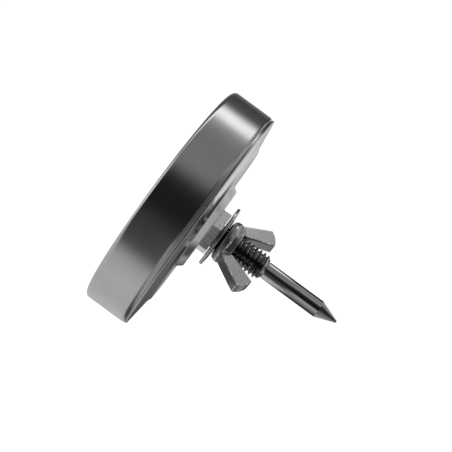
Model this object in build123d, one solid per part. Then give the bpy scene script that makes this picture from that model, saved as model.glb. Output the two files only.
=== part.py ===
"""Dial thermometer with a short pointed probe, clamped through a panel by a washer and a wing nut.

Millimetres, +Z up. The probe's axis is Y: the dial faces -Y and the probe points along +Y.
The origin is on that axis, on the rear face of the hex nut, where a panel is clamped.
"""

import os
from math import cos, pi, radians, sin

from build123d import *

# Thread of the stem and of the nuts on it: 3/8-16 UNC.
THREAD_MAJOR_R = 4.7625
THREAD_PITCH = 1.5875
THREAD_MINOR_R = THREAD_MAJOR_R - 0.6134 * THREAD_PITCH
NUT_BORE_R = THREAD_MAJOR_R + 0.05
STEM_END_Y = 19.6

# Case: a drawn drum with a turned-in front lip, closed behind by a stamped cover.
CASE_R = 42.1
CASE_WALL = 0.7
CASE_INNER_R = CASE_R - CASE_WALL
CASE_FRONT_Y = -23.8
CASE_REAR_Y = -7.8
CASE_CORNER_R = 1.6
CASE_BEAD = 0.2
BEAD_LENGTH = 0.6
BEAD_RISE = 0.3
EDGE_ROUND = 0.2
LIP_INNER_R = 38.6
COVER_EDGE_R = 41.8
COVER_THICK = 0.7
COVER_SKIRT_Y = -10.5
STEM_HOLE_R = THREAD_MAJOR_R + 0.15
STACK_R = CASE_INNER_R - 0.05

# Boss of the cover.
BOSS_Y = -3.3
BOSS_R = 15.2

# Corners of the cover's outside, as (radius, y), from the boss outwards.
BOSS_FOOT = (16.9, -5.5)
STEP_TOP = (30.3, -5.3)
STEP_FOOT = (32.7, -6.25)
CONE_TOP = (33.7, -6.1)
CONE_EDGE_Y = -7.05

# Hex nut and washer.
HEX_ACROSS_FLATS = 14.7
HEX_CORNER_ANGLE = 12.6
WASHER_R = 11.4
WASHER_BORE_R = 5.1
WASHER_Y = (0.2, 1.5)

# Wing nut: hub and wings, the wings turned about the axis from the X axis.
WING_HUB_Y = (1.95, 7.25)
WING_SPAN_R = 15.7
WING_THICK = 3.9
WING_ANGLE = 44.0

# Probe.
PROBE_R = 3.09
PROBE_WALL = 0.65
PROBE_BORE_R = PROBE_R - PROBE_WALL
PROBE_NECK_R = PROBE_R - 0.25
PROBE_SHOULDER_Y = STEM_END_Y + 0.3
CONE_START_Y = 42.0
TIP_Y = 49.5
TIP_R = 0.35

# Stack inside the case, from the lens back to the cover.
LENS_Y = (CASE_FRONT_Y + CASE_WALL, CASE_FRONT_Y + CASE_WALL + 2.0)
LENS_R = 40.4
GASKET_THICK = 0.8
DIAL_Y = (-16.4, -15.8)
DIAL_CENTRE_HOLE_R = 1.6
SCREW_RADIUS = 9.0
SCREW_R = 0.95
SCREW_LENGTH = 3.0
SCREW_HEAD_R = 1.9
SCREW_HEAD_HEIGHT = 0.9
STOP_RADIUS = 20.0
STOP_R = 0.5
STOP_ANGLE = 146.0

# Bracket between the stem's flange and the dial.
FLANGE_R = 10.5
FLANGE_Y = (-6.5, -4.5)
BRACKET_THICK = 0.8
BRACKET_WALL_R = (5.2, 6.0)
BRACKET_TOP_R = 12.0

# Pointer, its shaft and the bimetal that turns it. The pointer rests at 9 o'clock.
SHAFT_R = 0.6
SHAFT_BORE_R = SHAFT_R + 0.05
SHAFT_Y = (-18.4, 14.0)
BLADE_Y = (-18.3, -18.0)
BLADE_LENGTH = 33.0
TAIL_LENGTH = 12.0
HUB_NECK_R = 1.2
HUB_CAP_R = 2.6
HUB_CAP_THICK = 0.5
HUB_END_Y = -17.0
BUSH_R = PROBE_BORE_R - 0.02
BUSH_FLANGE_R = 2.9
GUIDE_Y = (9.0, 10.5)
COLLAR_R = 2.0
COLLAR_Y = (12.5, 14.0)
COIL_MEAN_R = 1.75
COIL_PITCH = 1.7
COIL_STRIP = (0.3, 1.0)
COIL_Y = (14.6, 35.0)
ANCHOR_Y = (35.6, 37.0)


def turned(corners, rounds=None):
    """Solid of revolution about the probe's axis from (radius, y) corners.

    rounds is {corner's place in the list: its fillet radius}.
    """
    face = make_face(Polyline(*corners, close=True))
    for place, radius in (rounds or {}).items():
        face = fillet(face.vertices().sort_by_distance(corners[place])[0], radius)
    return revolve(face, Axis.Y)


def ring(inner_r, outer_r, span):
    """Plain ring or disc between two y planes."""
    return turned([(inner_r, span[0]), (outer_r, span[0]), (outer_r, span[1]), (inner_r, span[1])])


def rod(radius, span):
    """Solid cylinder between two y planes."""
    return ring(0, radius, span)


def rod_at(radius, span, x, z):
    """Solid cylinder beside the axis, parallel to it."""
    return Pos(x, 0, z) * rod(radius, span)


def dial_point(radius, clock_angle):
    """(x, z) on the dial at a clock angle in degrees: 0 is 12 o'clock, clockwise is positive."""
    turn = radians(clock_angle)
    return radius * sin(turn), radius * cos(turn)


def case_drum():
    """Drum wall with a rolled bead at the rear rim and a lip over the lens at the front."""
    lip_back = CASE_FRONT_Y + CASE_WALL
    corners = [
        (LIP_INNER_R, CASE_FRONT_Y),
        (CASE_R, CASE_FRONT_Y),
        (CASE_R, CASE_REAR_Y - BEAD_LENGTH - BEAD_RISE),
        (CASE_R + CASE_BEAD, CASE_REAR_Y - BEAD_LENGTH),
        (CASE_R + CASE_BEAD, CASE_REAR_Y),
        (CASE_INNER_R, CASE_REAR_Y),
        (CASE_INNER_R, lip_back),
        (LIP_INNER_R, lip_back),
    ]
    inner_corner_r = CASE_CORNER_R - CASE_WALL
    return turned(
        corners,
        {0: EDGE_ROUND, 1: CASE_CORNER_R, 4: EDGE_ROUND, 6: inner_corner_r, 7: EDGE_ROUND},
    )


def back_cover():
    """Stamped cover: flanged edge, shallow cone, step, plateau, boss, and a skirt pressed into the drum."""
    edge_y = CASE_REAR_Y + 0.3
    corners = [
        (STEM_HOLE_R, BOSS_Y),
        (BOSS_R, BOSS_Y),
        BOSS_FOOT,
        STEP_TOP,
        STEP_FOOT,
        CONE_TOP,
        (COVER_EDGE_R, CONE_EDGE_Y),
        (COVER_EDGE_R, edge_y),
        (STACK_R, edge_y),
        (STACK_R, COVER_SKIRT_Y),
        (STACK_R - COVER_THICK, COVER_SKIRT_Y),
        (STACK_R - COVER_THICK, CONE_EDGE_Y - COVER_THICK),
        (CONE_TOP[0], CONE_TOP[1] - COVER_THICK),
        (STEP_FOOT[0] - 0.2, STEP_FOOT[1] - COVER_THICK),
        (STEP_TOP[0] - 0.1, STEP_TOP[1] - COVER_THICK),
        (BOSS_FOOT[0] - 0.4, BOSS_FOOT[1] - COVER_THICK),
        (BOSS_R - 0.4, BOSS_Y - COVER_THICK),
        (STEM_HOLE_R, BOSS_Y - COVER_THICK),
    ]
    return turned(corners, {1: 0.5, 2: 0.5, 3: 0.6, 4: 0.4, 6: 0.3})


def cover_gasket():
    """Thin ring squeezed between the drum's rear rim and the cover's edge."""
    return ring(STACK_R, COVER_EDGE_R - 0.1, (CASE_REAR_Y, CASE_REAR_Y + 0.3))


def lens():
    """Flat glass with ground edges."""
    front, back = LENS_Y
    return turned([(0, front), (LENS_R, front), (LENS_R, back), (0, back)], {1: 0.3, 2: 0.3})


def lens_gasket():
    return ring(LIP_INNER_R + 0.2, STACK_R, (LENS_Y[1], LENS_Y[1] + GASKET_THICK))


def spacer_ring():
    """Ring that holds the dial off the lens, its inner face sloping towards the dial."""
    front, back = LENS_Y[1] + GASKET_THICK, DIAL_Y[0]
    return turned([(39.0, front), (STACK_R, front), (STACK_R, back), (39.9, back)])


def dial_plate():
    """Printed disc with holes for the shaft, two screws and two stop pins."""
    plate = ring(DIAL_CENTRE_HOLE_R, STACK_R, DIAL_Y)
    for side in (-1, 1):
        plate -= rod_at(SCREW_R + 0.1, DIAL_Y, 0, side * SCREW_RADIUS)
        plate -= rod_at(STOP_R, DIAL_Y, *dial_point(STOP_RADIUS, side * STOP_ANGLE))
    return plate


def support_ring():
    """Ring between the dial's rim and the cover's skirt."""
    return ring(40.2, STACK_R, (DIAL_Y[1], COVER_SKIRT_Y))


def dial_screw(z):
    """Pan-head screw with a slot, its shank along +Y."""
    top, seat = DIAL_Y[0] - SCREW_HEAD_HEIGHT, DIAL_Y[0]
    shank = rod_at(SCREW_R, (seat, seat + SCREW_LENGTH), 0, z)
    corners = [(0, top), (SCREW_HEAD_R, top), (SCREW_HEAD_R, seat), (0, seat)]
    head = turned(corners, {1: 0.4})
    slot = Pos(0, top, 0) * Box(3 * SCREW_HEAD_R, SCREW_HEAD_HEIGHT, 0.45)
    return shank + Pos(0, 0, z) * (head - slot)


def dial_screws():
    return Compound(children=[dial_screw(side * SCREW_RADIUS) for side in (-1, 1)])


def stop_pins():
    """Two pins riveted in the dial, one past each end of the scale."""
    span = (BLADE_Y[0] - 0.3, DIAL_Y[1])
    places = [dial_point(STOP_RADIUS, side * STOP_ANGLE) for side in (-1, 1)]
    return Compound(children=[rod_at(STOP_R, span, x, z) for x, z in places])


def dial_bracket():
    """Spool-shaped pressing: lower flange welded on the stem's flange, upper flange under the dial."""
    low, high = FLANGE_Y[0], DIAL_Y[1]
    inner, outer = BRACKET_WALL_R
    spool = ring(inner, outer, (high, low))
    spool += ring(PROBE_R + 0.2, FLANGE_R - 1, (low - BRACKET_THICK, low))
    spool += ring(inner, BRACKET_TOP_R, (high, high + BRACKET_THICK))
    for side in (-1, 1):
        spool -= rod_at(SCREW_R + 0.01, (high, high + BRACKET_THICK), 0, side * SCREW_RADIUS)
    return spool


def pointer_blade():
    """Flat tapering blade with a counterweight tail, pointing along -X at rest."""
    outline = [
        (-BLADE_LENGTH, 0.15),
        (-4.0, 1.3),
        (3.0, 1.3),
        (TAIL_LENGTH, 2.4),
        (TAIL_LENGTH, -2.4),
        (3.0, -1.3),
        (-4.0, -1.3),
        (-BLADE_LENGTH, -0.15),
    ]
    back_plane = Plane((0, BLADE_Y[1], 0), x_dir=(1, 0, 0), z_dir=(0, -1, 0))
    blade = extrude(back_plane * make_face(Polyline(*outline, close=True)), BLADE_Y[1] - BLADE_Y[0])
    return blade - rod(HUB_NECK_R, (BLADE_Y[0] - 1, BLADE_Y[1] + 1))


def pointer_hub():
    """Turned cap and neck that carry the blade on the shaft's end."""
    front, under_cap, end = BLADE_Y[0] - HUB_CAP_THICK, BLADE_Y[0], HUB_END_Y
    corners = [
        (0, front),
        (HUB_CAP_R, front),
        (HUB_CAP_R, under_cap),
        (HUB_NECK_R, under_cap),
        (HUB_NECK_R, end),
        (0, end),
    ]
    return turned(corners, {1: HUB_CAP_THICK / 2}) - rod(SHAFT_R, (SHAFT_Y[0], end + 0.1))


def pointer_shaft():
    return rod(SHAFT_R, SHAFT_Y)


def shaft_bush():
    """Flanged bush in the mouth of the probe tube."""
    front, seat, end = FLANGE_Y[0] - 0.7, FLANGE_Y[0], FLANGE_Y[0] + 3.0
    return turned([
        (SHAFT_BORE_R, front),
        (BUSH_FLANGE_R, front),
        (BUSH_FLANGE_R, seat),
        (BUSH_R, seat),
        (BUSH_R, end),
        (SHAFT_BORE_R, end),
    ])


def shaft_guide():
    """Plain bush half way down the stem."""
    return ring(SHAFT_BORE_R, BUSH_R, GUIDE_Y)


def coil_collar():
    """Collar pressed on the shaft, to which the bimetal's upper end is welded."""
    return ring(SHAFT_R, COLLAR_R, COLLAR_Y)


def coil_anchor():
    """Disc pressed in the probe, to which the bimetal's lower end is welded."""
    return rod(BUSH_R, ANCHOR_Y)


def helical_bar(profile, mean_r, pitch, span):
    """Bar of a flat (radial, axial) profile wound right-handed about the axis from span[0] to span[1]."""
    path = Helix(pitch, span[1] - span[0], mean_r, center=(0, span[0], 0), direction=(0, 1, 0))
    start = path @ 0
    section = Plane(origin=start, x_dir=Vector(start.X, 0, start.Z), z_dir=path % 0)
    return sweep(section * profile, path=path, is_frenet=True)


def bimetal_coil():
    """Strip of two metals wound on edge as a helix."""
    return helical_bar(Rectangle(*COIL_STRIP), COIL_MEAN_R, COIL_PITCH, COIL_Y)


def thread_ridge(span):
    """Thread ridge of trapezoid section, its root sunk a little in the core."""
    depth, sunk = THREAD_MAJOR_R - THREAD_MINOR_R, 0.15
    root, crest = 0.375 * THREAD_PITCH, THREAD_PITCH / 16
    outline = [(-sunk, -root), (0, -root), (depth, -crest), (depth, crest), (0, root), (-sunk, root)]
    return helical_bar(make_face(Polyline(*outline, close=True)), THREAD_MINOR_R, THREAD_PITCH, span)


def threaded_stem():
    """Flanged tube with an outside thread, chamfered at its free end."""
    end_r, bore_r = THREAD_MINOR_R - 0.4, PROBE_NECK_R + 0.01
    cut_r, cut_end = THREAD_MAJOR_R + 1, STEM_END_Y + 1
    end_cut = turned([
        (end_r, STEM_END_Y),
        (cut_r, STEM_END_Y + end_r - cut_r),
        (cut_r, cut_end),
        (end_r, cut_end),
    ])
    core = turned([
        (bore_r, FLANGE_Y[0]),
        (THREAD_MINOR_R, FLANGE_Y[0]),
        (THREAD_MINOR_R, STEM_END_Y + end_r - THREAD_MINOR_R),
        (end_r, STEM_END_Y),
        (bore_r, STEM_END_Y),
    ])
    ridge = thread_ridge((FLANGE_Y[1] - 1.0, STEM_END_Y - 0.3)) - end_cut  # starts inside the flange
    return ring(bore_r, FLANGE_R, FLANGE_Y) + (core + ridge)


def seal_washer():
    """Fibre washer between the stem's flange and the inside of the boss."""
    return ring(STEM_HOLE_R, 11.0, (FLANGE_Y[1], BOSS_Y - COVER_THICK))


def hex_nut():
    """Thin hex nut that clamps the stem to the boss."""
    corner_r = HEX_ACROSS_FLATS / 2 / cos(pi / 6)
    hexagon = extrude(Plane.XZ * RegularPolygon(corner_r, 6, rotation=HEX_CORNER_ANGLE), -BOSS_Y)
    return hexagon - rod(NUT_BORE_R, (BOSS_Y, 0))


def washer():
    front, back = WASHER_Y
    corners = [(WASHER_BORE_R, front), (WASHER_R, front), (WASHER_R, back), (WASHER_BORE_R, back)]
    return turned(corners, {1: 0.25, 2: 0.25})


def wing():
    """One wing, rising outwards from the hub to a rounded end, in the plane of X and Y."""
    low_root, outer_end, inner_end = (8.9, 5.3), (WING_SPAN_R, 14.5), (10.0, 18.1)
    crown = (13.15, 17.0)
    outline = [
        Polyline((5.4, 8.1), (5.2, 3.2), (7.4, 3.9), low_root, outer_end),
        ThreePointArc(outer_end, crown, inner_end),
        Polyline(inner_end, (7.4, 12.6), (5.4, 8.1)),
    ]
    return extrude(make_face(outline), WING_THICK / 2, both=True)


def wing_nut():
    """Cast nut: a barrel-shaped hub with two wings."""
    front, back = WING_HUB_Y
    hub = turned(
        [
            (NUT_BORE_R, front),
            (5.8, front),
            (7.1, front + 0.5),
            (7.75, front + 1.5),
            (7.85, front + 2.6),
            (7.4, back - 1.35),
            (6.6, back),
            (NUT_BORE_R, back),
        ],
        {1: 0.8, 2: 0.8, 3: 0.8, 4: 0.8, 5: 0.8, 6: 0.3},
    )
    for turn in (0, 180):
        hub += Rot(0, WING_ANGLE + turn, 0) * wing()
    return hub


def probe_tube():
    """Drawn tube, a little smaller where it is brazed inside the stem."""
    return turned([
        (PROBE_BORE_R, FLANGE_Y[0]),
        (PROBE_NECK_R, FLANGE_Y[0]),
        (PROBE_NECK_R, PROBE_SHOULDER_Y),
        (PROBE_R, PROBE_SHOULDER_Y),
        (PROBE_R, CONE_START_Y),
        (PROBE_BORE_R, CONE_START_Y),
    ])


def probe_tip():
    """Pointed plug, its spigot pressed in the tube's end."""
    spigot_r, spigot_y = PROBE_BORE_R - 0.01, CONE_START_Y - 4.0
    corners = [
        (0, spigot_y),
        (spigot_r, spigot_y),
        (spigot_r, CONE_START_Y),
        (PROBE_R, CONE_START_Y),
        (TIP_R, TIP_Y),
        (0, TIP_Y),
    ]
    return turned(corners, {4: 0.25})


NODES = {
    "case_drum": case_drum,
    "back_cover": back_cover,
    "cover_gasket": cover_gasket,
    "lens": lens,
    "lens_gasket": lens_gasket,
    "spacer_ring": spacer_ring,
    "dial_plate": dial_plate,
    "support_ring": support_ring,
    "dial_screws": dial_screws,
    "stop_pins": stop_pins,
    "dial_bracket": dial_bracket,
    "pointer_blade": pointer_blade,
    "pointer_hub": pointer_hub,
    "pointer_shaft": pointer_shaft,
    "shaft_bush": shaft_bush,
    "shaft_guide": shaft_guide,
    "coil_collar": coil_collar,
    "coil_anchor": coil_anchor,
    "bimetal_coil": bimetal_coil,
    "threaded_stem": threaded_stem,
    "seal_washer": seal_washer,
    "hex_nut": hex_nut,
    "washer": washer,
    "wing_nut": wing_nut,
    "probe_tube": probe_tube,
    "probe_tip": probe_tip,
}

os.makedirs("parts", exist_ok=True)
for node, make in NODES.items():
    export_step(make(), f"parts/{node}.step")
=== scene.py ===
"""Looks of the dial thermometer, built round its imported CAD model."""

import math

import bmesh
import bpy
from mathutils import Matrix, Vector, noise


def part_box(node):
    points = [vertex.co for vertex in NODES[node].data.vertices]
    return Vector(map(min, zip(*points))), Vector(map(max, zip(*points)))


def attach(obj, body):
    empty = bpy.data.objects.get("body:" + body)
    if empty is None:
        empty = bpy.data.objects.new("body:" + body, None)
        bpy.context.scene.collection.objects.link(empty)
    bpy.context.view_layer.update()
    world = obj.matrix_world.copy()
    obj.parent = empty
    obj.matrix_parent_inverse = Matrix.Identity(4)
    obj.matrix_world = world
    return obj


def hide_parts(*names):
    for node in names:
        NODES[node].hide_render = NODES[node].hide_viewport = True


MM = 0.001
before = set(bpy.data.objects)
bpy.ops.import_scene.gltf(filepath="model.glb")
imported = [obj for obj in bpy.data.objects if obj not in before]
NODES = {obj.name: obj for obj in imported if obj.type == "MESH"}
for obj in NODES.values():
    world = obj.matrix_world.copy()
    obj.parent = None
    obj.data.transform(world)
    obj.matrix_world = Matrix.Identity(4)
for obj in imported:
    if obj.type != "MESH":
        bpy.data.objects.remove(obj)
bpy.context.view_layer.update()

# ---------------------------------------------------------------- camera

VIEW_ROLL = math.radians(36.3)
VIEW_DISTANCE = 0.320
LOOK_AT = Vector((0.0, 0.44 * MM, 4.1 * MM))
LENS_MM = 75.7


def add_camera():
    """Camera beside the probe's axis and level with it, rolled so that the probe points down and right."""
    data = bpy.data.cameras.new("camera")
    data.sensor_width = 36.0
    data.lens = LENS_MM
    data.clip_start, data.clip_end = 0.01, 20.0
    camera = bpy.data.objects.new("camera", data)
    bpy.context.scene.collection.objects.link(camera)
    right = Vector((0.0, math.cos(VIEW_ROLL), math.sin(VIEW_ROLL)))
    up = Vector((0.0, -math.sin(VIEW_ROLL), math.cos(VIEW_ROLL)))
    back = Vector((1.0, 0.0, 0.0))
    place = Matrix((right, up, back)).transposed().to_4x4()
    place.translation = LOOK_AT + back * VIEW_DISTANCE
    camera.matrix_world = place
    bpy.context.scene.camera = camera


# ---------------------------------------------------------------- node helpers


def smooth_step(nodes, links, value, low, high):
    """0 below low, 1 above high."""
    step = nodes.new("ShaderNodeMapRange")
    step.interpolation_type = "SMOOTHSTEP"
    step.inputs["From Min"].default_value = low
    step.inputs["From Max"].default_value = high
    links.new(value, step.inputs["Value"])
    return step.outputs["Result"]


def stretched(nodes, links, value, low, high):
    """Maps 0..1 to low..high."""
    step = nodes.new("ShaderNodeMapRange")
    step.inputs["To Min"].default_value = low
    step.inputs["To Max"].default_value = high
    links.new(value, step.inputs["Value"])
    return step.outputs["Result"]


def mixed(nodes, links, share, first, second):
    """Colour mix; first and second are sockets or colours."""
    mix = nodes.new("ShaderNodeMix")
    mix.data_type = "RGBA"
    links.new(share, mix.inputs["Factor"])
    for socket, colour in ((mix.inputs[6], first), (mix.inputs[7], second)):
        if isinstance(colour, tuple):
            socket.default_value = (*colour, 1.0)
        else:
            links.new(colour, socket)
    return mix.outputs[2]


def grey(level):
    return (level, level, level)


def math_node(nodes, links, operation, first, second=None):
    node = nodes.new("ShaderNodeMath")
    node.operation = operation
    for socket, value in zip(node.inputs, (first, second)):
        if isinstance(value, (int, float)):
            socket.default_value = value
        elif value is not None:
            links.new(value, socket)
    return node.outputs["Value"]


# ---------------------------------------------------------------- studio

# Brightness of the studio round the probe's axis, as (degrees above the camera's side, level). CASE_SIDE
# lies level with the camera. The others follow one another towards the probe's point, and two plain levels
# close the ends.
CASE_SIDE = [
    (-180, 0.56), (-140, 0.60), (-115, 0.58), (-90, 0.60), (-77, 0.54), (-68, 0.47), (-62, 0.36),
    (-57, 0.22), (-52, 0.12), (-47, 0.085), (-39, 0.070), (-24, 0.052), (-15, 0.030), (-8, 0.016),
    (9, 0.016), (16, 0.026), (20, 0.042), (24, 0.080), (28, 0.145), (33, 0.22), (39, 0.25), (65, 0.23),
    (77, 0.26), (86, 0.36), (92, 0.60), (97, 1.30), (106, 1.45), (111, 0.90), (116, 0.30), (122, 0.10),
    (145, 0.06), (180, 0.38),
]
PROBE_SIDE = [
    (-180, 0.08), (-136, 0.04), (-118, 0.04), (-102, 0.10), (-84, 0.22), (-59, 0.32), (-40, 0.46),
    (-31, 0.38), (-25, 0.14), (-19, 0.05), (-12, 0.012), (-6, 0.008), (7, 0.008), (18, 0.018),
    (25, 0.034), (32, 0.06), (38, 0.12), (45, 0.30), (52, 0.42), (59, 0.34), (66, 0.22), (74, 0.20),
    (82, 0.27), (90, 0.36), (99, 0.44), (105, 0.26), (112, 0.02), (156, 0.02), (166, 0.40), (180, 0.60),
]
REAR_SIDE = [
    (-180, 0.12), (-160, 0.14), (-113, 0.52), (-79, 0.46), (-47, 0.30), (-23, 0.18), (0, 0.09), (18, 0.09),
    (35, 0.15), (47, 0.22), (79, 0.45), (116, 0.26), (138, 0.50), (180, 0.72),
]
FAR_SIDE = [
    (-180, 0.04), (-166, 0.04), (-157, 0.45), (-138, 0.45), (-120, 0.09), (-104, 0.09), (-94, 0.20),
    (-60, 0.24), (-20, 0.12), (0, 0.03), (60, 0.03), (88, 0.30), (104, 0.50), (125, 0.62), (162, 0.62),
    (172, 0.04), (180, 0.04),
]
REAR_LEVEL = 0.5
DIAL_LEVEL = 0.85

# Where each zone fades in, as the direction's share along the probe's axis.
PROBE_FADE = (0.02, 0.07)
REAR_SIDE_FADE = (0.13, 0.20)
FAR_SIDE_FADE = (0.52, 0.64)
REAR_END_FADE = (0.84, 0.93)
DIAL_END_FADE = (-0.90, -0.97)

BACKGROUND_LEVEL = 1.05
FLOOR_HALF = 8.0
FLOOR_HEIGHT = -0.30
FLOOR_GLOW = 0.9
DIAL_LIGHT_SIZE = 0.5
DIAL_LIGHT_WATTS = 8.0
DIAL_LIGHT_PLACE = Vector((0.25, -0.7, 0.5))


def angle_ramp(nodes, links, turn, levels):
    """Grey ramp over the whole turn about the probe's axis."""
    ramp = nodes.new("ShaderNodeValToRGB")
    for degrees, _ in levels[1:-1]:
        ramp.color_ramp.elements.new((degrees + 180) / 360)
    for element, (_, level) in zip(ramp.color_ramp.elements, levels):
        element.color = (*grey(level), 1.0)
    links.new(turn, ramp.inputs["Fac"])
    return ramp.outputs["Color"]


def studio_world():
    """Soft studio: dark on the camera's side, a softbox above and behind, bright before the dial."""
    world = bpy.data.worlds.new("studio")
    bpy.context.scene.world = world
    world.use_nodes = True
    nodes, links = world.node_tree.nodes, world.node_tree.links
    nodes.clear()
    coordinates = nodes.new("ShaderNodeTexCoord")
    split = nodes.new("ShaderNodeSeparateXYZ")
    links.new(coordinates.outputs["Generated"], split.inputs["Vector"])
    angle = math_node(nodes, links, "ARCTAN2", split.outputs["Z"], split.outputs["X"])
    turn = nodes.new("ShaderNodeMapRange")
    turn.inputs["From Min"].default_value = -math.pi
    turn.inputs["From Max"].default_value = math.pi
    links.new(angle, turn.inputs["Value"])
    turn, along = turn.outputs["Result"], split.outputs["Y"]
    shade = angle_ramp(nodes, links, turn, CASE_SIDE)
    for (low, high), zone in (
        (PROBE_FADE, angle_ramp(nodes, links, turn, PROBE_SIDE)),
        (REAR_SIDE_FADE, angle_ramp(nodes, links, turn, REAR_SIDE)),
        (FAR_SIDE_FADE, angle_ramp(nodes, links, turn, FAR_SIDE)),
        (REAR_END_FADE, grey(REAR_LEVEL)),
        (DIAL_END_FADE, grey(DIAL_LEVEL)),
    ):
        shade = mixed(nodes, links, smooth_step(nodes, links, along, low, high), shade, zone)
    studio = nodes.new("ShaderNodeBackground")
    links.new(shade, studio.inputs["Color"])
    white = nodes.new("ShaderNodeBackground")
    white.inputs["Color"].default_value = (1.0, 1.0, 1.0, 1.0)
    white.inputs["Strength"].default_value = BACKGROUND_LEVEL
    path = nodes.new("ShaderNodeLightPath")
    mix = nodes.new("ShaderNodeMixShader")
    links.new(path.outputs["Is Camera Ray"], mix.inputs["Fac"])
    links.new(studio.outputs["Background"], mix.inputs[1])
    links.new(white.outputs["Background"], mix.inputs[2])
    output = nodes.new("ShaderNodeOutputWorld")
    links.new(mix.outputs["Shader"], output.inputs["Surface"])


def add_floor():
    """Pale floor well below the thermometer."""
    signs = ((-1, -1), (1, -1), (1, 1), (-1, 1))
    corners = [(x * FLOOR_HALF, y * FLOOR_HALF, FLOOR_HEIGHT) for x, y in signs]
    mesh = bpy.data.meshes.new("floor")
    mesh.from_pydata(corners, [], [(0, 1, 2, 3)])
    floor = bpy.data.objects.new("floor", mesh)
    bpy.context.scene.collection.objects.link(floor)
    material = bpy.data.materials.new("floor")
    material.use_nodes = True
    shader = material.node_tree.nodes["Principled BSDF"]
    shader.inputs["Base Color"].default_value = (0.9, 0.9, 0.9, 1.0)
    shader.inputs["Roughness"].default_value = 0.9
    shader.inputs["Emission Color"].default_value = (1.0, 1.0, 1.0, 1.0)
    shader.inputs["Emission Strength"].default_value = FLOOR_GLOW
    mesh.materials.append(material)
    floor.visible_glossy = False


def add_dial_light():
    """Softbox before the dial, for its enamel: left out of reflections."""
    data = bpy.data.lights.new("dial_light", "AREA")
    data.shape = "DISK"
    data.size = DIAL_LIGHT_SIZE
    data.energy = DIAL_LIGHT_WATTS
    light = bpy.data.objects.new("dial_light", data)
    light.location = DIAL_LIGHT_PLACE
    light.rotation_euler = (-DIAL_LIGHT_PLACE).to_track_quat("-Z", "Y").to_euler()
    light.visible_glossy = False
    bpy.context.scene.collection.objects.link(light)


# ---------------------------------------------------------------- materials


class Surface:
    """A material's nodes, with the patterns that the pieces share."""

    def __init__(self, name, metallic, colour, roughness):
        self.material = bpy.data.materials.new(name)
        self.material.use_nodes = True
        self.nodes = self.material.node_tree.nodes
        self.links = self.material.node_tree.links
        self.shader = self.nodes["Principled BSDF"]
        self.shader.inputs["Metallic"].default_value = metallic
        self.colour, self.roughness = colour, roughness
        self.place = self.nodes.new("ShaderNodeTexCoord").outputs["Object"]
        self.normal = None

    def noise(self, size_mm, detail=3.0, place=None):
        """Fractal noise of about that grain size."""
        node = self.nodes.new("ShaderNodeTexNoise")
        node.inputs["Scale"].default_value = 1.0 / (size_mm * MM)
        node.inputs["Detail"].default_value = detail
        self.links.new(self.place if place is None else place, node.inputs["Vector"])
        return node.outputs["Fac"]

    def math(self, operation, first, second=None):
        return math_node(self.nodes, self.links, operation, first, second)

    def turned_place(self, stretch):
        """Coordinates that draw a grain out round the probe's axis, by so many millimetres a radian."""
        split = self.nodes.new("ShaderNodeSeparateXYZ")
        self.links.new(self.place, split.inputs["Vector"])
        x, y, z = (split.outputs[axis] for axis in "XYZ")
        square = self.math("ADD", self.math("MULTIPLY", x, x), self.math("MULTIPLY", z, z))
        radius = self.math("SQRT", square)
        angle = self.math("ARCTAN2", self.math("ABSOLUTE", z), x)
        joined = self.nodes.new("ShaderNodeCombineXYZ")
        self.links.new(radius, joined.inputs["X"])
        self.links.new(y, joined.inputs["Y"])
        self.links.new(self.math("MULTIPLY", angle, stretch * MM), joined.inputs["Z"])
        return joined.outputs["Vector"]

    def vary_colour(self, pattern, other, low=0.35, high=0.65):
        """Blends the colour to another where the pattern is high."""
        share = smooth_step(self.nodes, self.links, pattern, low, high)
        self.colour = mixed(self.nodes, self.links, share, self.colour, other)

    def vary_roughness(self, pattern, low, high):
        self.roughness = stretched(self.nodes, self.links, pattern, low, high)

    def bump(self, pattern, height_mm):
        node = self.nodes.new("ShaderNodeBump")
        node.inputs["Strength"].default_value = 1.0
        node.inputs["Distance"].default_value = height_mm * MM
        self.links.new(pattern, node.inputs["Height"])
        if self.normal is not None:
            self.links.new(self.normal, node.inputs["Normal"])
        self.normal = node.outputs["Normal"]

    def finish(self):
        values = {"Base Color": self.colour, "Roughness": self.roughness, "Normal": self.normal}
        for socket, value in values.items():
            if isinstance(value, tuple):
                self.shader.inputs[socket].default_value = (*value, 1.0)
            elif isinstance(value, float):
                self.shader.inputs[socket].default_value = value
            elif value is not None:
                self.links.new(value, self.shader.inputs[socket])
        return self.material


def drawn_steel(name, colour, shade, low, high):
    """Satin stainless sheet with faint lines round the axis and soft blotches."""
    surface = Surface(name, 1.0, grey(colour), low)
    lines = surface.noise(0.25, 4.0, surface.turned_place(0.6))
    blotches = surface.noise(9.0, 4.0)
    grain = surface.noise(0.5, 2.0)
    surface.vary_colour(blotches, grey(shade))
    surface.vary_roughness(blotches, low, high)
    surface.bump(lines, 0.0025)
    surface.bump(grain, 0.002)
    return surface.finish()


def polished_steel():
    """Bright ground tube with very fine lines and faint finger marks."""
    surface = Surface("polished_steel", 1.0, grey(0.66), 0.05)
    lines = surface.noise(0.12, 3.0, surface.turned_place(0.3))
    marks = surface.noise(4.0, 5.0)
    surface.vary_colour(lines, grey(0.60))
    surface.vary_roughness(marks, 0.03, 0.08)
    surface.bump(lines, 0.0006)
    return surface.finish()


def plated_steel(name, colour, low, high, grain_height):
    """Zinc-plated steel, bright and grainy, duller in the hollows of its grain."""
    surface = Surface(name, 1.0, grey(colour), low)
    grain = surface.noise(0.5, 3.0)
    patches = surface.noise(3.0, 4.0)
    surface.vary_colour(grain, grey(0.62 * colour), 0.42, 0.66)
    surface.vary_colour(patches, grey(0.8 * colour), 0.5, 0.8)
    surface.vary_roughness(patches, low, high)
    surface.bump(grain, grain_height)
    return surface.finish()


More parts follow.
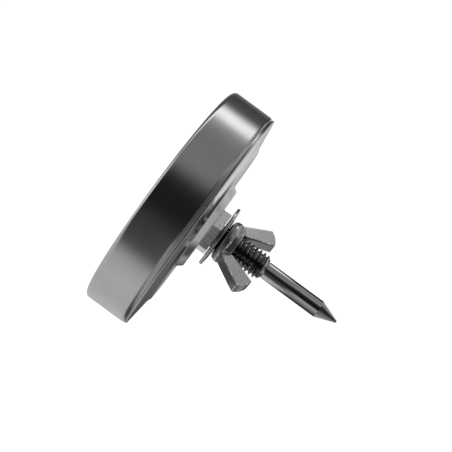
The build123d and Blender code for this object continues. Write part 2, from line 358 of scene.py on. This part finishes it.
def cast_zinc():
    """Tumbled casting: pitted faces, and edges painted bright: partly rubbed wear, partly a painted
    highlight on their rounding.
    """
    surface = Surface("cast_zinc", 1.0, grey(0.54), 0.3)
    pits = surface.noise(0.5, 3.0)
    clouds = surface.noise(5.0, 3.0)
    surface.vary_colour(pits, grey(0.34), 0.48, 0.78)
    surface.vary_colour(clouds, grey(0.47), 0.4, 0.7)
    # Convex edges lightened by pointiness: a painted highlight, with some rubbed wear.
    edges = surface.nodes.new("ShaderNodeNewGeometry").outputs["Pointiness"]
    surface.vary_colour(edges, grey(0.95), 0.525, 0.575)
    surface.vary_roughness(pits, 0.16, 0.28)
    surface.bump(pits, 0.004)
    return surface.finish()


def stem_steel():
    """Dark, oily machined steel."""
    surface = Surface("stem_steel", 1.0, grey(0.40), 0.2)
    lines = surface.noise(0.2, 3.0, surface.turned_place(0.5))
    stain = surface.noise(1.6, 4.0)
    surface.vary_colour(stain, grey(0.12), 0.4, 0.62)
    surface.vary_roughness(stain, 0.12, 0.28)
    surface.bump(lines, 0.006)
    return surface.finish()


def turned_brass():
    surface = Surface("brass_turned", 1.0, (0.78, 0.60, 0.30), 0.25)
    lines = surface.noise(0.15, 3.0, surface.turned_place(0.4))
    tarnish = surface.noise(2.5, 4.0)
    surface.vary_colour(tarnish, (0.60, 0.42, 0.20))
    surface.vary_roughness(tarnish, 0.18, 0.36)
    surface.bump(lines, 0.003)
    return surface.finish()


def bimetal_strip():
    """Rolled strip with straw and blue heat tints."""
    surface = Surface("bimetal_strip", 1.0, (0.62, 0.58, 0.50), 0.3)
    tint = surface.noise(1.8, 3.0)
    surface.vary_colour(tint, (0.48, 0.42, 0.36))
    surface.vary_roughness(tint, 0.22, 0.38)
    surface.bump(surface.noise(0.15, 3.0), 0.004)
    return surface.finish()


def black_rubber():
    surface = Surface("black_rubber", 0.0, grey(0.020), 0.7)
    skin = surface.noise(0.4, 4.0)
    surface.vary_colour(surface.noise(3.0, 3.0), grey(0.034))
    surface.vary_roughness(skin, 0.6, 0.85)
    surface.bump(skin, 0.02)
    return surface.finish()


def black_trim():
    """Moulded black plastic with a fine spark-eroded skin."""
    surface = Surface("black_trim", 0.0, grey(0.028), 0.5)
    skin = surface.noise(0.25, 2.0)
    surface.vary_colour(surface.noise(5.0, 3.0), grey(0.040))
    surface.vary_roughness(skin, 0.42, 0.6)
    surface.bump(skin, 0.012)
    return surface.finish()


def dial_enamel():
    """White baked enamel with a little orange peel, a touch creamy in places."""
    surface = Surface("dial_enamel", 0.0, (0.86, 0.86, 0.84), 0.35)
    surface.vary_colour(surface.noise(14.0, 3.0), (0.82, 0.815, 0.78))
    peel = surface.noise(0.8, 2.0)
    surface.vary_roughness(peel, 0.30, 0.42)
    surface.bump(peel, 0.006)
    return surface.finish()


def dial_ink(name, colour):
    """Screen-printed ink, slightly uneven."""
    surface = Surface(name, 0.0, colour, 0.5)
    mottle = surface.noise(0.5, 3.0)
    surface.vary_colour(mottle, tuple(0.6 * channel + 0.02 for channel in colour))
    surface.vary_roughness(mottle, 0.42, 0.6)
    surface.bump(mottle, 0.003)
    return surface.finish()


def pointer_paint():
    surface = Surface("pointer_paint", 0.0, grey(0.015), 0.4)
    skin = surface.noise(0.3, 3.0)
    surface.vary_colour(surface.noise(2.0, 3.0), grey(0.028))
    surface.vary_roughness(skin, 0.34, 0.5)
    surface.bump(skin, 0.006)
    return surface.finish()


def fibre():
    """Red vulcanised fibre."""
    surface = Surface("fibre", 0.0, (0.36, 0.10, 0.06), 0.7)
    strands = surface.noise(0.5, 5.0)
    surface.vary_colour(strands, (0.24, 0.06, 0.04))
    surface.vary_roughness(strands, 0.6, 0.8)
    surface.bump(strands, 0.02)
    return surface.finish()


def lens_glass():
    surface = Surface("lens_glass", 0.0, (0.98, 0.99, 0.99), 0.02)
    surface.shader.inputs["Transmission Weight"].default_value = 1.0
    surface.shader.inputs["IOR"].default_value = 1.45
    wipe = surface.noise(12.0, 3.0)
    surface.vary_roughness(wipe, 0.0, 0.03)
    surface.bump(wipe, 0.002)
    return surface.finish()


# ---------------------------------------------------------------- shapes


def dress(node, material):
    """Gives a CAD node its material."""
    slots = NODES[node].data.materials
    slots.clear()
    slots.append(material)


def add_piece(name, mesh, material, body="body", node=None):
    """New piece with its material and slot, riding on its body, and replacing a CAD node if one is named."""
    mesh.materials.clear()
    mesh.materials.append(material)
    piece = bpy.data.objects.new(name, mesh)
    bpy.context.scene.collection.objects.link(piece)
    if node:
        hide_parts(node)
    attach(piece, body)
    return piece


def rounded(corners, steps=8):
    """Outline through (radius, y, rounding) corners, each rounded by an arc; all in millimetres."""
    points = []
    count = len(corners)
    for place, (radius, y, rounding) in enumerate(corners):
        here = Vector((radius, y))
        if rounding == 0:
            points.append(here)
            continue
        before = (Vector(corners[place - 1][:2]) - here).normalized()
        after = (Vector(corners[(place + 1) % count][:2]) - here).normalized()
        half = before.angle(after) / 2
        centre = here + (before + after).normalized() * rounding / math.sin(half)
        start = here + before * rounding / math.tan(half) - centre
        end = here + after * rounding / math.tan(half) - centre
        for step in range(steps + 1):
            points.append(centre + rounding * start.slerp(end, step / steps).normalized())
    return points


def lathe(name, outline, segments=256, lift=None, sharp_above=40):
    """Closed outline turned about the probe's axis. lift(radius, y, up) moves a point along y."""
    mesh = bpy.data.meshes.new(name)
    build = bmesh.new()
    rings = []
    for step in range(segments):
        turn = 2 * math.pi * step / segments
        x, z = math.cos(turn), math.sin(turn)
        ring = []
        for radius, y in outline:
            rise = lift(radius, y, z) if lift else 0.0
            ring.append(build.verts.new((radius * x * MM, (y + rise) * MM, radius * z * MM)))
        rings.append(ring)
    for step, ring in enumerate(rings):
        following = rings[(step + 1) % segments]
        for place in range(len(outline)):
            after = (place + 1) % len(outline)
            build.faces.new((ring[place], ring[after], following[after], following[place]))
    bmesh.ops.remove_doubles(build, verts=build.verts, dist=1e-7)
    bmesh.ops.recalc_face_normals(build, faces=build.faces)
    build.to_mesh(mesh)
    build.free()
    mesh.shade_smooth()
    mesh.set_sharp_from_angle(angle=math.radians(sharp_above))
    return mesh


def outer_radius(node):
    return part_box(node)[1].z / MM


def y_span(node):
    low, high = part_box(node)
    return low.y / MM, high.y / MM


FRONT_Y, REAR_Y = y_span("case_drum")
WALL_R = outer_radius("case_drum") - 0.2
SHEET = 0.7
LIP_R = 38.6
RIM_GAP = 0.6
GAP_FROM, GAP_OVER = 0.1, 0.8


def rim_gap(radius, y, up):
    """The rolled rim closes on the cover below and stands off it above, so the black gasket shows only along
    the top: a painted shadow line in the groove.
    """
    share = max(0.0, min(1.0, (up - GAP_FROM) / GAP_OVER))
    in_roll = y > REAR_Y - 0.5 and radius > WALL_R - SHEET - 0.1
    return -RIM_GAP * share * share * (3 - 2 * share) if in_roll else 0.0


def drum_mesh():
    """Drawn drum: front corner, straight wall, and a rear rim rolled gently in."""
    inner = WALL_R - SHEET
    outline = rounded([
        (LIP_R, FRONT_Y, 0.2),
        (WALL_R, FRONT_Y, 1.7),
        (WALL_R, REAR_Y - 1.4, 7.0),
        (WALL_R - 0.22, REAR_Y + 0.2, 0.3),
        (inner, REAR_Y + 0.2, 0.1),
        (inner, FRONT_Y + SHEET, 0.9),
        (LIP_R, FRONT_Y + SHEET, 0.2),
    ])
    # The rim's lift bares the black gasket along the top only, as a painted shadow line.
    return lathe("drum_shell", outline, lift=rim_gap)


COVER_BORE_R = 4.95
BOSS_TOP_R, BOSS_FOOT_R = 15.2, 16.9
STEP_TOP_R, STEP_FOOT_R = 30.3, 32.7
CONE_R = 33.7


def cover_mesh():
    """Stamped cover with its cone, step, plateau and boss, all softly drawn."""
    front, boss_y = y_span("back_cover")
    edge_r = outer_radius("back_cover")
    inner = WALL_R - SHEET - 0.05
    outline = rounded([
        (COVER_BORE_R, boss_y, 0.0),
        (BOSS_TOP_R, boss_y, 0.45),
        (BOSS_FOOT_R, boss_y - 2.2, 0.5),
        (STEP_TOP_R, boss_y - 2.0, 0.7),
        (STEP_FOOT_R, boss_y - 2.95, 0.5),
        (CONE_R, boss_y - 2.8, 0.8),
        (edge_r, REAR_Y + 0.72, 0.28),
        (edge_r, REAR_Y + 0.25, 0.12),
        (inner, REAR_Y + 0.25, 0.0),
        (inner, front, 0.0),
        (inner - SHEET, front, 0.0),
        (inner - SHEET, REAR_Y + 0.05, 0.0),
        (CONE_R, boss_y - 3.5, 0.3),
        (30.2, boss_y - 2.7, 0.3),
        (16.5, boss_y - 2.9, 0.3),
        (14.8, boss_y - SHEET, 0.3),
        (COVER_BORE_R, boss_y - SHEET, 0.0),
    ])
    return lathe("cover_shell", outline)


WASHER_BORE_R = 5.1
WASHER_DOME_R = 8.2


def washer_mesh():
    """Punched washer, domed a little towards the nut, its rim rolled over."""
    front, back = y_span("washer")
    outer = outer_radius("washer")
    outline = rounded([
        (WASHER_BORE_R, front + 0.35, 0.15),
        (outer - 0.2, front + 0.02, 0.2),
        (outer, front + 0.4, 0.3),
        (outer, back - 0.3, 0.3),
        (outer - 0.4, back - 0.1, 0.2),
        (WASHER_DOME_R, back + 0.28, 6.0),
        (WASHER_BORE_R, back + 0.38, 0.25),
    ])
    return lathe("washer_disc", outline, 160, sharp_above=50)


PROBE_WALL = 0.65
NECK_STEP = 0.25
SHOULDER_Y = 19.9
NOSE_R = 0.38


def probe_meshes():
    """The drawn tube with its neck inside the stem, and its point with a small round nose and a spigot."""
    radius = outer_radius("probe_tube")
    bore, neck = radius - PROBE_WALL, radius - NECK_STEP
    start, cone_y = y_span("probe_tube")
    spigot_y, tip_y = y_span("probe_tip")
    tube = rounded([
        (bore, start, 0.0),
        (neck, start, 0.0),
        (neck, SHOULDER_Y, 0.0),
        (radius, SHOULDER_Y, 0.15),
        (radius, cone_y, 0.0),
        (bore, cone_y, 0.0),
    ])
    point = rounded([
        (0.0, spigot_y, 0.0),
        (bore, spigot_y, 0.0),
        (bore, cone_y, 0.0),
        (radius, cone_y, 0.0),
        (NOSE_R, tip_y, 0.3),
        (0.0, tip_y, 0.0),
    ])
    return lathe("probe_sleeve", tube, 160), lathe("probe_point", point, 160, sharp_above=60)


CAST_VOXEL = 0.2 * MM
CAST_SMOOTHING = 7
CAST_WAVE = 0.003 * MM
COARSE_WAVE, FINE_WAVE = 1.1 * MM, 0.45 * MM
SCOOP_TURN, SCOOP_REACH = math.radians(29), math.radians(48)
SCOOP_Y, SCOOP_HALF = 5.75 * MM, 1.25 * MM
SCOOP_DEPTH = 0.9 * MM
SCOOP_FLOOR_R, SCOOP_LOW_R, SCOOP_HIGH_R = 5.4 * MM, 5.6 * MM, 8.0 * MM


def scooped(point):
    """Hollow cast in the hub between the wings, on both sides, which leaves a thin rim behind it."""
    radius = math.hypot(point.x, point.z)
    off = math.remainder(math.atan2(point.z, point.x) - SCOOP_TURN, math.pi) / SCOOP_REACH
    along = (point.y - SCOOP_Y) / SCOOP_HALF
    if abs(off) < 1 and abs(along) < 1 and SCOOP_LOW_R < radius < SCOOP_HIGH_R:
        depth = SCOOP_DEPTH * (1 - off ** 4) * (1 - along ** 4)
        depth = min(depth, radius - SCOOP_FLOOR_R)
        point.x *= 1 - depth / radius
        point.z *= 1 - depth / radius


def casting_mesh(node):
    """The CAD shape as a casting: fused, its edges rounded by smoothing, and its skin a little uneven."""
    rough = bpy.data.meshes.new("casting")
    build = bmesh.new()
    build.from_mesh(NODES[node].data)
    bmesh.ops.remove_doubles(build, verts=build.verts, dist=1e-6)
    build.to_mesh(rough)
    build.free()
    piece = bpy.data.objects.new("casting", rough)
    bpy.context.scene.collection.objects.link(piece)
    remesh = piece.modifiers.new("remesh", "REMESH")
    remesh.mode = "VOXEL"
    remesh.voxel_size = CAST_VOXEL
    smooth = piece.modifiers.new("smooth", "SMOOTH")
    smooth.factor = 0.5
    smooth.iterations = CAST_SMOOTHING
    graph = bpy.context.evaluated_depsgraph_get()
    mesh = bpy.data.meshes.new_from_object(piece.evaluated_get(graph))
    bpy.data.objects.remove(piece)
    normals = [vertex.normal.copy() for vertex in mesh.vertices]
    for vertex, normal in zip(mesh.vertices, normals):
        wave = noise.noise(vertex.co / COARSE_WAVE) + 0.5 * noise.noise(vertex.co / FINE_WAVE)
        vertex.co += normal * wave * CAST_WAVE
        scooped(vertex.co)
    mesh.shade_smooth()
    return mesh


# ---------------------------------------------------------------- dial printing

SCALE_START, SCALE_SWEEP, SCALE_MAX = -135.0, 270.0, 120
TICK_OUTER_R = 36.5
TICK_STEP, MIDDLE_STEP, NUMBER_STEP = 2, 10, 20
ARC_WIDTH, ARC_STEPS = 0.35, 180
INK_THICK = 0.03
NUMBER_HEIGHT, NUMBER_R = 6.6, 26.3
UNIT_HEIGHT, UNIT_R = 7.0, 17.0
TEXT_WEIGHT = 0.12


def clock_point(radius, clock):
    turn = math.radians(clock)
    return Vector((radius * math.sin(turn), 0.0, radius * math.cos(turn)))


def add_bar(build, clock, inner, outer, width, front, back):
    """Radial bar of ink between two radii."""
    across = clock_point(width / 2, clock + 90)
    corners = [clock_point(inner, clock) - across, clock_point(outer, clock) - across,
               clock_point(outer, clock) + across, clock_point(inner, clock) + across]
    add_slab(build, corners, front, back)


def add_slab(build, corners, front, back):
    """Thin slab over a polygon of the dial."""
    low = [build.verts.new((corner.x * MM, front * MM, corner.z * MM)) for corner in corners]
    high = [build.verts.new((corner.x * MM, back * MM, corner.z * MM)) for corner in corners]
    build.faces.new(low)
    build.faces.new(list(reversed(high)))
    for place in range(len(corners)):
        after = (place + 1) % len(corners)
        build.faces.new((low[place], high[place], high[after], low[after]))


def scale_clock(value):
    return SCALE_START + SCALE_SWEEP * value / SCALE_MAX


def tick_size(value):
    """Length and width of the tick at that value."""
    if value % NUMBER_STEP == 0:
        return 5.0, 0.75
    if value % MIDDLE_STEP == 0:
        return 3.8, 0.5
    return 2.2, 0.28


def scale_mesh():
    """Ticks at every 2 degrees, longer at 10 and 20, and the fine arc that joins them."""
    face_y = y_span("dial_plate")[0]
    build = bmesh.new()
    front = face_y - INK_THICK
    for value in range(0, SCALE_MAX + 1, TICK_STEP):
        length, width = tick_size(value)
        add_bar(build, scale_clock(value), TICK_OUTER_R - length, TICK_OUTER_R, width, front, face_y)
    outer = TICK_OUTER_R + ARC_WIDTH
    for step in range(ARC_STEPS):
        start, end = (SCALE_START + SCALE_SWEEP * (step + side) / ARC_STEPS for side in (0, 1))
        corners = [clock_point(TICK_OUTER_R, start), clock_point(TICK_OUTER_R, end),
                   clock_point(outer, end), clock_point(outer, start)]
        add_slab(build, corners, front, face_y)
    bmesh.ops.recalc_face_normals(build, faces=build.faces)
    mesh = bpy.data.meshes.new("scale_marks")
    build.to_mesh(mesh)
    build.free()
    return mesh


def text_mesh(text, height, centre):
    """Lettering on the dial, read from the front, centred at a point of it."""
    curve = bpy.data.curves.new("text", "FONT")
    curve.body = text
    curve.size = height * MM
    curve.offset = TEXT_WEIGHT * MM
    curve.extrude = INK_THICK / 2 * MM
    curve.align_x, curve.align_y = "CENTER", "CENTER"
    holder = bpy.data.objects.new("text", curve)
    bpy.context.scene.collection.objects.link(holder)
    graph = bpy.context.evaluated_depsgraph_get()
    mesh = bpy.data.meshes.new_from_object(holder.evaluated_get(graph))
    bpy.data.objects.remove(holder)
    face_y = y_span("dial_plate")[0]
    place = Vector((centre.x, face_y - INK_THICK / 2, centre.z)) * MM
    mesh.transform(Matrix.Translation(place) @ Matrix.Rotation(math.pi / 2, 4, "X"))
    return mesh


def numbers_mesh():
    """Numbers at every 20 degrees, and the unit."""
    labels = []
    for value in range(0, SCALE_MAX + 1, NUMBER_STEP):
        labels.append((str(value), NUMBER_HEIGHT, clock_point(NUMBER_R, scale_clock(value))))
    labels.append(("°C", UNIT_HEIGHT, clock_point(UNIT_R, 180)))
    build = bmesh.new()
    for text, height, centre in labels:
        build.from_mesh(text_mesh(text, height, centre))
    mesh = bpy.data.meshes.new("scale_numbers")
    build.to_mesh(mesh)
    build.free()
    return mesh


# ---------------------------------------------------------------- build

NUT_BEVEL = 0.35 * MM

add_camera()
studio_world()
add_floor()
add_dial_light()
bpy.context.scene.view_settings.view_transform = "Standard"

BRASS = turned_brass()
RUBBER = black_rubber()
TRIM = black_trim()
PLATED = plated_steel("plated_steel", 0.95, 0.13, 0.22, 0.022)
PUNCHED = plated_steel("punched_steel", 0.62, 0.08, 0.16, 0.004)
POLISHED = polished_steel()
STEM = stem_steel()
CASE = drawn_steel("stainless_case", 0.63, 0.60, 0.14, 0.18)
COVER = drawn_steel("stainless_cover", 0.70, 0.66, 0.10, 0.14)
ENAMEL = dial_enamel()

CARRIED_OVER = {
    "cover_gasket": RUBBER,
    "lens": lens_glass(),
    "lens_gasket": RUBBER,
    "spacer_ring": TRIM,
    "dial_plate": ENAMEL,
    "support_ring": TRIM,
    "dial_screws": PLATED,
    "stop_pins": BRASS,
    "dial_bracket": PLATED,
    "pointer_blade": pointer_paint(),
    "pointer_hub": BRASS,
    "pointer_shaft": POLISHED,
    "shaft_bush": BRASS,
    "shaft_guide": BRASS,
    "coil_collar": BRASS,
    "coil_anchor": BRASS,
    "bimetal_coil": bimetal_strip(),
    "threaded_stem": STEM,
    "seal_washer": fibre(),
    "hex_nut": PLATED,
}
for node_name, node_material in CARRIED_OVER.items():
    dress(node_name, node_material)

add_piece("drum_shell", drum_mesh(), CASE, node="case_drum")
add_piece("cover_shell", cover_mesh(), COVER, node="back_cover")
add_piece("washer_disc", washer_mesh(), PUNCHED, "clamp_washer", "washer")
add_piece("wing_casting", casting_mesh("wing_nut"), cast_zinc(), "wing_nut", "wing_nut")
SLEEVE, POINT = probe_meshes()
add_piece("probe_sleeve", SLEEVE, POLISHED, node="probe_tube")
add_piece("probe_point", POINT, POLISHED, node="probe_tip")
INK = dial_ink("dial_ink", grey(0.02))
add_piece("scale_marks", scale_mesh(), INK)
add_piece("scale_numbers", numbers_mesh(), INK)

nut_bevel = NODES["hex_nut"].modifiers.new("bevel", "BEVEL")
nut_bevel.width = NUT_BEVEL
nut_bevel.segments = 3
nut_bevel.limit_method = "ANGLE"
